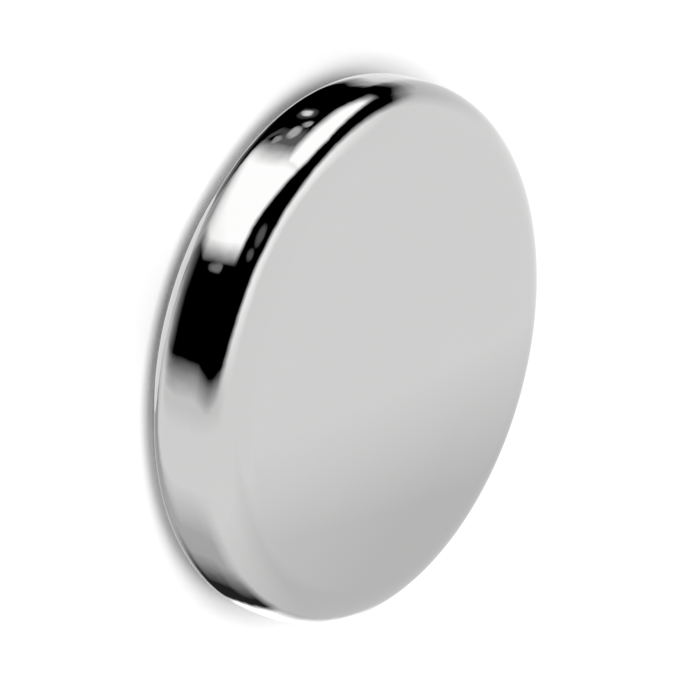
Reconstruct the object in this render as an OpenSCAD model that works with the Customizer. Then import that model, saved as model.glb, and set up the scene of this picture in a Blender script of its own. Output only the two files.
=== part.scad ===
// Disc magnet.
// One sintered disc, magnetised through its thickness, with flat faces and a straight rim.
// Both edges are tumbled to a full round before the disc is plated with bright nickel.

/* [Disc] */
// Diameter across the rim
disc_d = 20; // [8:0.5:60]
// Thickness from face to face
disc_t = 4; // [1:0.1:12]

/* [Edge] */
// Radius of the rounding between each face and the rim
edge_r = 1.6; // [0.1:0.1:1.9]

/* [Hidden] */

$fn = 180;
nickel = [0.80, 0.80, 0.80];

rim_r = disc_d / 2;
// On a disc too thin for the full rounding, the roundings stop 0.1 mm short of its middle.
edge = min(edge_r, disc_t / 2 - 0.1);
// The flat of each face ends, and the straight rim begins, where the rounding meets them.
face_r = rim_r - edge;
rim_h = disc_t - 2 * edge;

// Half of the disc's section, from the axis out to the rim, with the lower face on the X axis.
module half_section() {
    square([face_r, disc_t]);
    translate([0, edge])
        square([rim_r, rim_h]);
    for (z = [edge, disc_t - edge])
        translate([face_r, z])
            circle(r = edge);
}

module disc_magnet() {
    color(nickel)
        rotate_extrude()
            half_section();
}

disc_magnet();
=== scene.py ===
import math

import bpy
from mathutils import Matrix, Vector


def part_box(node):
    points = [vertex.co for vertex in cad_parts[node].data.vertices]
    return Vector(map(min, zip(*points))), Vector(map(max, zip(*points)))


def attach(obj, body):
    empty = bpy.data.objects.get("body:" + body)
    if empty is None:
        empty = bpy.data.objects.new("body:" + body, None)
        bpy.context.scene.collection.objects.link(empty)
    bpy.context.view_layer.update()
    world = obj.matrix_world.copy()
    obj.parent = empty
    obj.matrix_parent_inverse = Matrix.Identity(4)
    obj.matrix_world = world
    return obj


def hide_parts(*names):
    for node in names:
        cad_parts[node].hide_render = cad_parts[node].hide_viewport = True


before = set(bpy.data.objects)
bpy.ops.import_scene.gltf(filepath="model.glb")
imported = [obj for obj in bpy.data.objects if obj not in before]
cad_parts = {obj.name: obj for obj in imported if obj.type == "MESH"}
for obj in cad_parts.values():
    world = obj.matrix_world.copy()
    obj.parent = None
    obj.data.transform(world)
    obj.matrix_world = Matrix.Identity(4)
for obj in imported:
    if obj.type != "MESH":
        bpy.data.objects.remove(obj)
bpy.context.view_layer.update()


# The magnet is one disc, pressed and sintered from metal powder and ground flat on both faces.
# Tumbling with stones gives each edge a wide, even round. The half section, a bar with two
# rounded corners, is turned once round the axis.
MM = 0.001
disc_low, disc_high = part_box("disc_magnet")
DISC_DIAMETER = disc_high[0] - disc_low[0]
DISC_THICKNESS = disc_high[2] - disc_low[2]
EDGE_RADIUS = 1.6 * MM
# A narrow flat ring beside each rounding keeps the face itself perfectly flat in reflections.
LAND_WIDTH = 0.05 * MM
TURN_STEPS = 360
EDGE_STEPS = 40
# Points of the faces and of the outer band that are closer than this become one.
WELD_DISTANCE = 0.001 * MM


class Wire:
    """An output of a node. Python's own signs join wires by Math nodes."""

    def __init__(self, net, socket):
        self.net = net
        self.socket = socket

    def __getitem__(self, name):
        return Wire(self.net, self.socket.node.outputs[name])

    def math(self, operation, *values):
        return self.net.add("ShaderNodeMath", {"operation": operation}, dict(enumerate(values)))

    def __add__(self, other):
        return self.math("ADD", self, other)

    def __radd__(self, other):
        return self.math("ADD", other, self)

    def __sub__(self, other):
        return self.math("SUBTRACT", self, other)

    def __rsub__(self, other):
        return self.math("SUBTRACT", other, self)

    def __mul__(self, other):
        return self.math("MULTIPLY", self, other)

    def __rmul__(self, other):
        return self.math("MULTIPLY", other, self)

    def __truediv__(self, other):
        return self.math("DIVIDE", self, other)

    def __neg__(self):
        return self.math("MULTIPLY", self, -1)


class Net:
    """A node tree that is being wired, for a shape or for a finish."""

    def __init__(self, tree):
        self.tree = tree
        tree.nodes.clear()

    def add(self, kind, settings=None, sockets=None):
        """Adds a node and returns its first output. A list of wires all go into one socket."""
        node = self.tree.nodes.new(kind)
        for name, value in (settings or {}).items():
            setattr(node, name, value)
        for name, value in (sockets or {}).items():
            for part in value if isinstance(value, list) else [value]:
                if isinstance(part, Wire):
                    self.tree.links.new(part.socket, node.inputs[name])
                else:
                    node.inputs[name].default_value = part
        return Wire(self, node.outputs[0]) if node.outputs else None


def point(net, x, y):
    """A point of the flat profile, from two wires or numbers."""
    return net.add("ShaderNodeCombineXYZ", sockets={"X": x, "Y": y})


def turned_disc(sizes):
    """The node tree that turns the half section once round the disc's axis."""
    tree = bpy.data.node_groups.new("turned_disc", "GeometryNodeTree")
    for name, value in sizes.items():
        kind = "NodeSocketInt" if isinstance(value, int) else "NodeSocketFloat"
        tree.interface.new_socket(name, in_out="INPUT", socket_type=kind)
    tree.interface.new_socket("Finish", in_out="INPUT", socket_type="NodeSocketMaterial")
    tree.interface.new_socket("Disc", in_out="OUTPUT", socket_type="NodeSocketGeometry")
    net = Net(tree)
    size = net.add("NodeGroupInput")
    thick = size["Thickness"]
    edge = size["Edge radius"]
    steps = size["Turn steps"]
    face_radius = size["Diameter"] / 2 - edge - size["Land width"]
    reach = edge + size["Land width"]

    # the outer band, from the upper face over the rim to the lower face
    section = net.add(
        "GeometryNodeCurvePrimitiveQuadrilateral",
        {"mode": "POINTS"},
        {
            "Point 1": point(net, 0.0, -thick),
            "Point 2": point(net, reach, -thick),
            "Point 3": point(net, reach, 0.0),
            "Point 4": point(net, 0.0, 0.0),
        },
    )
    opened = net.add("GeometryNodeSetSplineCyclic", sockets={"Geometry": section, "Cyclic": False})
    rounded = net.add(
        "GeometryNodeFilletCurve",
        {"mode": "POLY"},
        {"Curve": opened, "Count": size["Edge steps"], "Radius": edge, "Limit Radius": True},
    )
    circle = net.add(
        "GeometryNodeCurvePrimitiveCircle", sockets={"Resolution": steps, "Radius": face_radius}
    )
    band = net.add("GeometryNodeCurveToMesh", sockets={"Curve": circle, "Profile Curve": rounded})

    # the two flat faces that close it
    lower = net.add(
        "GeometryNodeMeshCircle",
        {"fill_type": "TRIANGLE_FAN"},
        {"Vertices": steps, "Radius": face_radius},
    )
    lift = net.add("ShaderNodeCombineXYZ", sockets={"Z": thick})
    upper = net.add("GeometryNodeTransform", sockets={"Geometry": lower, "Translation": lift})
    under = net.add("GeometryNodeFlipFaces", sockets={"Mesh": lower})
    joined = net.add("GeometryNodeJoinGeometry", sockets={"Geometry": [band, under, upper]})
    closed = net.add(
        "GeometryNodeMergeByDistance", sockets={"Geometry": joined, "Distance": WELD_DISTANCE}
    )
    smooth = net.add("GeometryNodeSetShadeSmooth", sockets={"Geometry": closed})
    real = net.add("GeometryNodeRealizeInstances", sockets={"Geometry": smooth})
    finished = net.add(
        "GeometryNodeSetMaterial", sockets={"Geometry": real, "Material": size["Finish"]}
    )
    net.add("NodeGroupOutput", sockets={"Disc": finished})
    return tree


# The disc is plated with bright nickel, a grey mirror with a faint waviness from tumbling.
# Handling leaves it a trace of haze, and its tone is a hair paler or darker in places.
NICKEL = (0.615, 0.615, 0.612)
TONE_SPREAD = 0.015
MIRROR_ROUGHNESS = 0.02
HAZE_ROUGHNESS = 0.03
WAVE_HEIGHT = 0.05 * MM
RIPPLE_HEIGHT = 0.02 * MM
# The faces are ground flat. The waviness begins with the rounding and grows over this width.
WAVY_FROM = DISC_DIAMETER / 2 - EDGE_RADIUS
WAVY_WIDTH = 0.8 * MM


def bright_nickel():
    """The plating's finish, patterned in the disc's own coordinates."""
    material = bpy.data.materials.new("bright_nickel")
    material.use_nodes = True
    net = Net(material.node_tree)
    place = net.add("ShaderNodeTexCoord")["Object"]

    def noise(scale, detail):
        """Soft noise, with this many patches to the metre."""
        return net.add(
            "ShaderNodeTexNoise",
            {"noise_dimensions": "3D"},
            {"Vector": place, "Scale": scale, "Detail": detail, "Roughness": 0.5},
        )

    tone = noise(scale=180, detail=2)
    haze = noise(scale=900, detail=3)
    wave = noise(scale=260, detail=1)
    ripple = noise(scale=800, detail=2)
    tint = net.add(
        "ShaderNodeMix",
        {"data_type": "RGBA"},
        {
            "Factor": tone,
            "A": tuple((1 - TONE_SPREAD) * c for c in NICKEL) + (1.0,),
            "B": tuple((1 + TONE_SPREAD) * c for c in NICKEL) + (1.0,),
        },
    )
    spot = net.add("ShaderNodeSeparateXYZ", sockets={"Vector": place})
    radius = spot.math("SQRT", spot["X"] * spot["X"] + spot["Y"] * spot["Y"])
    wavy = net.add(
        "ShaderNodeMapRange",
        sockets={"Value": radius, "From Min": WAVY_FROM, "From Max": WAVY_FROM + WAVY_WIDTH},
    )
    # the noise lies about 0.5, which is the level of the true surface
    height = ((wave - 0.5) * WAVE_HEIGHT + (ripple - 0.5) * RIPPLE_HEIGHT) * wavy
    bump = net.add("ShaderNodeBump", sockets={"Strength": 1.0, "Distance": 1.0, "Height": height})
    shader = net.add(
        "ShaderNodeBsdfPrincipled",
        sockets={
            "Base Color": tint["Result"],
            "Metallic": 1.0,
            "Roughness": MIRROR_ROUGHNESS + HAZE_ROUGHNESS * haze,
            "Normal": bump,
        },
    )
    net.add("ShaderNodeOutputMaterial", sockets={"Surface": shader})
    return material


disc_sizes = {
    "Diameter": DISC_DIAMETER,
    "Thickness": DISC_THICKNESS,
    "Edge radius": EDGE_RADIUS,
    "Land width": LAND_WIDTH,
    "Turn steps": TURN_STEPS,
    "Edge steps": EDGE_STEPS,
}
disc_inputs = dict(disc_sizes, Finish=bright_nickel())
seed = bpy.data.objects.new("seed", bpy.data.meshes.new("seed"))
bpy.context.scene.collection.objects.link(seed)
turning = seed.modifiers.new("turning", "NODES")
turning.node_group = turned_disc(disc_sizes)
for item in turning.node_group.interface.items_tree:
    if item.in_out == "INPUT":
        turning[item.identifier] = disc_inputs[item.name]
turned = seed.evaluated_get(bpy.context.evaluated_depsgraph_get())
disc = bpy.data.objects.new("plated_disc", bpy.data.meshes.new_from_object(turned))
bpy.context.scene.collection.objects.link(disc)
bpy.data.objects.remove(seed)
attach(disc, "root")
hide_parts("disc_magnet")


# The disc lies on a plain matt white table, which runs far past the view. The table is kept
# out of the disc's mirror, because the ring of cards stands where it would be seen.
FLOOR_REACH = 2.0
FLOOR_WHITE = (0.96, 0.96, 0.96, 1.0)
floor_corners = [
    (-FLOOR_REACH, -FLOOR_REACH, 0),
    (FLOOR_REACH, -FLOOR_REACH, 0),
    (FLOOR_REACH, FLOOR_REACH, 0),
    (-FLOOR_REACH, FLOOR_REACH, 0),
]
floor_mesh = bpy.data.meshes.new("floor")
floor_mesh.from_pydata(floor_corners, [], [(0, 1, 2, 3)])
floor = bpy.data.objects.new("floor", floor_mesh)
bpy.context.scene.collection.objects.link(floor)
floor_paint = bpy.data.materials.new("floor_white")
floor_paint.use_nodes = True
floor_net = Net(floor_paint.node_tree)
matt = floor_net.add("ShaderNodeBsdfDiffuse", sockets={"Color": FLOOR_WHITE})
floor_net.add("ShaderNodeOutputMaterial", sockets={"Surface": matt})
floor_mesh.materials.append(floor_paint)
floor.visible_glossy = False


# A ring of glowing cards stands close round the disc and shows in its mirror alone: a painted
# reflection of a studio. Towards the camera it is a black frame with a painted softbox in it, on
# the right a black card before a white one, at the back two low cards, and paper with painted
# shade elsewhere.
RING_RADIUS = 12 * MM
RING_LOW = -30 * MM
RING_HIGH = 26 * MM
RING_STEPS = 128
# A place on the ring has a turn, in degrees from the camera's side and growing to the right,
# which is +X, and a height in disc radii. The turn's count begins at this seam.
RING_SEAM = -140
# The light of the cards, where white paper has 1.
LIT_CARD = 1.6
LIT_BACK_CARD = 1.5
BLACK_CARD = 0.02


def ramp(value, low, high):
    """Goes from 0 to 1 as the value goes from low to high."""
    return value.net.add(
        "ShaderNodeMapRange", sockets={"Value": value, "From Min": low, "From Max": high}
    )


def rise(value, middle, soft):
    """Goes from 0 to 1 across the middle, over the width soft."""
    return ramp(value, middle - soft / 2, middle + soft / 2)


def fall(value, middle, soft):
    """Goes from 1 to 0 across the middle, over the width soft."""
    return 1 - rise(value, middle, soft)


def strip(value, low, high, soft):
    """Is 1 from low to high, with soft sides."""
    return rise(value, low, soft) * fall(value, high, soft)


def gleam(across, up, middle_across, middle_up, half_width, half_height):
    """Is 1 in the middle of a small oval spot."""
    side = (across - middle_across) / half_width
    rest = (up - middle_up) / half_height
    return fall(side * side + rest * rest, middle=0.6, soft=0.8)


def blend(under, over, mask):
    """Goes from under to over as the mask goes from 0 to 1."""
    return under + (over - under) * mask


def shaded_paper(turn, high):
    """White paper with soft shade on the right, more of it low down, and on the left."""
    right_shade = 0.26 * ramp(turn, 55, 100) * fall(high, 1.5, soft=1.4)
    # at the back this shade ends along a slanted line
    right_shade = right_shade * ramp(216 - turn - 36 * high, 0, 30)
    card_shade = 0.38 * ramp(turn, 45, 60) * fall(turn, 106, soft=14) * fall(high, 0.27, soft=0.15)
    foot_shade = 0.3 * strip(turn, 15, 75, soft=10) * ramp(-high, 0.5, 2)
    left_shade = 0.28 * ramp(turn, -125, -90) * fall(turn, -40, soft=40)
    left_shade = left_shade * strip(high, -0.05, 0.43, soft=0.2)
    return (1 - right_shade) * (1 - card_shade) * (1 - foot_shade) * (1 - left_shade)


def black_frame(light, turn, high):
    """A black frame with a low arch as its top, which pales towards the table."""
    low = -high
    glow_above = 0.5 * strip(turn, -65, 5, soft=30) * fall(high, 0.85, soft=0.5)
    shade_beside = 0.13 * strip(turn, 10, 27, soft=6) * strip(high, -0.3, 0.6, soft=0.2)
    # the arch is highest a little left of the camera's side
    arch = (turn + 25) / 60
    top = 0.66 - 0.25 * arch * arch
    # low down the frame spreads to the left
    left = -84 - 3 * strip(high, 0, 0.25, soft=0.1) - 20 * ramp(low, 0.05, 0.65)
    right = 17 + 3 * strip(high, 0.25, 0.45, soft=0.15)
    black = rise(turn, left, soft=10) * fall(turn, right, soft=9) * fall(high, top, soft=0.12)
    pale_right = 0.8 * ramp(turn, -30, 20) * ramp(low, 0.1, 0.8)
    pale_foot = 0.4 * ramp(low, 0.9, 3)
    pale = turn.math("MAXIMUM", pale_right, pale_foot)
    return light * (1 + glow_above) * (1 - shade_beside) * (1 - black * (1 - pale))


def frame_gleams(light, turn, high):
    """Small painted glints on the frame, each by its turn and height, its half sizes and its
    light.
    """
    for spot_turn, spot_high, half_turn, half_high, shine in (
        (-60, -0.01, 3, 0.05, 0.12),
        (-60, -0.01, 1.6, 0.03, 1.0),
        (-48, 0.07, 6, 0.1, 0.15),
        (-51, -0.15, 2, 0.2, 0.1),
        (-55.5, 0.055, 1.6, 0.03, 0.5),
        (-51.5, 0.035, 3, 0.025, 0.6),
        (-47.5, -0.01, 2, 0.03, 0.4),
        (-21, 0.44, 3.5, 0.07, 0.13),
        (-15.5, 0.42, 2, 0.06, 0.13),
        (-10, 0.09, 1.6, 0.05, 0.25),
    ):
        light = blend(light, shine, gleam(turn, high, spot_turn, spot_high, half_turn, half_high))
    return light


def softbox(light, turn, high):
    """A tall lit panel under a low roof line, with an arm that reaches out to its left."""
    low = -high
    roof = 0.28 + 0.12 * ramp(turn, -73, -53) * (1 - ramp(turn, -44, -21))
    left = -42.5 - 8 * ramp(low, 0, 0.4)
    right = -14 - 6 * ramp(low, 0, 0.3)
    # the panel fades downwards, sooner on its right
    fade = 0.72 * ramp(low + 0.01 * (turn + 40), 0.15, 0.65)
    panel = rise(turn, left, soft=8) * fall(turn, right, soft=6) * (1 - fade)
    arm_bottom = 0.18 + 0.04 * fall(turn, -67, soft=10)
    arm = strip(turn, -72, -38, soft=6) * rise(high, arm_bottom, soft=0.1)
    lit = turn.math("MAXIMUM", panel, arm) * fall(high, roof, soft=0.05)
    return blend(light, LIT_CARD, lit)


def side_cards(light, turn, high):
    """A white card on the right, and a black one that stands in front of its left part."""
    low = -high
    white = strip(turn, 90, 125, soft=10) * fall(high, 0.24, soft=0.12) * fall(low, 0.2, soft=0.1)
    # the black card's right edge leans out at its foot
    right = 92 + 8 * ramp(low, -0.12, 0.1)
    black = rise(turn, 77, soft=16) * fall(turn, right, soft=4)
    black = black * fall(high, 0.29, soft=0.1) * fall(low, 0.4, soft=0.3)
    return blend(blend(light, LIT_CARD, white), BLACK_CARD, black)


def back_cards(light, turn, high):
    """A low lit panel and a low black card at the back, over the table's painted shadow low down.
    """
    low = -high
    behind = rise(turn, 125, soft=20) + fall(turn, -115, soft=20)
    # painted shadow of the table under the disc, low down at the back
    table_shadow = 0.6 * fall(high, -0.7, soft=0.3) * behind
    band = fall(high, 0.15, soft=0.08) * fall(low, 0.5, soft=0.2)
    light = light * (1 - table_shadow)
    light = blend(light, BLACK_CARD, band * strip(turn, 172, 206, soft=8))
    return blend(light, LIT_BACK_CARD, band * strip(turn, 152, 172, soft=8))


def ring_cards():
    """The light of the whole ring, with nearer cards laid over farther ones."""
    material = bpy.data.materials.new("ring_cards")
    material.use_nodes = True
    net = Net(material.node_tree)
    place = net.add("ShaderNodeTexCoord")["Object"]
    spot = net.add("ShaderNodeSeparateXYZ", sockets={"Vector": place})
    turn = spot.math("ARCTAN2", spot["X"], -spot["Y"]) * math.degrees(1)
    turn = turn + 360 * turn.math("LESS_THAN", turn, RING_SEAM)
    high = spot["Z"] / (DISC_DIAMETER / 2)
    light = shaded_paper(turn, high)
    light = black_frame(light, turn, high)
    light = frame_gleams(light, turn, high)
    light = softbox(light, turn, high)
    light = side_cards(light, turn, high)
    light = back_cards(light, turn, high)
    shader = net.add("ShaderNodeEmission", sockets={"Color": light, "Strength": 1.0})
    net.add("ShaderNodeOutputMaterial", sockets={"Surface": shader})
    # the cards are seen in the mirror, and aren't lamps
    material.cycles.emission_sampling = "NONE"
    return material


ring_turns = [2 * math.pi * step / RING_STEPS for step in range(RING_STEPS)]
ring_points = [
    (RING_RADIUS * math.cos(turn), RING_RADIUS * math.sin(turn), height)
    for height in (RING_LOW, RING_HIGH)
    for turn in ring_turns
]
ring_faces = [
    (step, (step + 1) % RING_STEPS, (step + 1) % RING_STEPS + RING_STEPS, step + RING_STEPS)
    for step in range(RING_STEPS)
]
ring_mesh = bpy.data.meshes.new("ring_cards")
ring_mesh.from_pydata(ring_points, [], ring_faces)
ring_mesh.materials.append(ring_cards())
ring = bpy.data.objects.new("ring_cards", ring_mesh)
bpy.context.scene.collection.objects.link(ring)
ring.visible_camera = False
ring.visible_diffuse = False
ring.visible_shadow = False
ring.visible_transmission = False


# The room is plain white, and one large soft lamp hangs above the table on the camera's side.
# The room is full white where it is looked at or mirrored, and gives the table less light.
ROOM_WHITE = (1.0, 1.0, 1.0, 1.0)
ROOM_SEEN = 1.0
ROOM_LIGHT = 0.4
LAMP_PLACE = Vector((0.0, -0.5, 0.9))
LAMP_SIZE = 0.6
LAMP_WATTS = 9.5
world = bpy.data.worlds.new("white_room")
world.use_nodes = True
room = Net(world.node_tree)
path = room.add("ShaderNodeLightPath")
seen = path.math("MAXIMUM", path["Is Camera Ray"], path["Is Glossy Ray"])
seen = path.math("MAXIMUM", seen, path["Is Transmission Ray"])
level = blend(ROOM_LIGHT, ROOM_SEEN, seen)
white = room.add("ShaderNodeBackground", sockets={"Color": ROOM_WHITE, "Strength": level})
room.add("ShaderNodeOutputWorld", sockets={"Surface": white})
bpy.context.scene.world = world

lamp_data = bpy.data.lights.new("soft_lamp", "AREA")
lamp_data.size = LAMP_SIZE
lamp_data.energy = LAMP_WATTS
lamp = bpy.data.objects.new("soft_lamp", lamp_data)
lamp.location = LAMP_PLACE
lamp.rotation_euler = LAMP_PLACE.to_track_quat("Z", "Y").to_euler()
lamp.visible_glossy = False
bpy.context.scene.collection.objects.link(lamp)


# The camera looks at the middle of the disc from 33 degrees above the table, and is rolled so
# that the disc stands on its rim in the picture with its face to the right.
CAMERA_DISTANCE = 0.216
CAMERA_RISE = math.radians(33)
CAMERA_ROLL = math.radians(105.8)
CAMERA_LENS = 310
camera_data = bpy.data.cameras.new("camera")
camera_data.lens = CAMERA_LENS
camera = bpy.data.objects.new("camera", camera_data)
aim = Vector((0, 0, DISC_THICKNESS / 2))
outward = Vector((0, -math.cos(CAMERA_RISE), math.sin(CAMERA_RISE)))
camera_place = Matrix.Translation(aim + CAMERA_DISTANCE * outward)
level_camera = outward.to_track_quat("Z", "Y").to_matrix().to_4x4()
camera.matrix_world = camera_place @ level_camera @ Matrix.Rotation(CAMERA_ROLL, 4, "Z")
bpy.context.scene.collection.objects.link(camera)
bpy.context.scene.camera = camera
bpy.context.scene.view_settings.view_transform = "Standard"
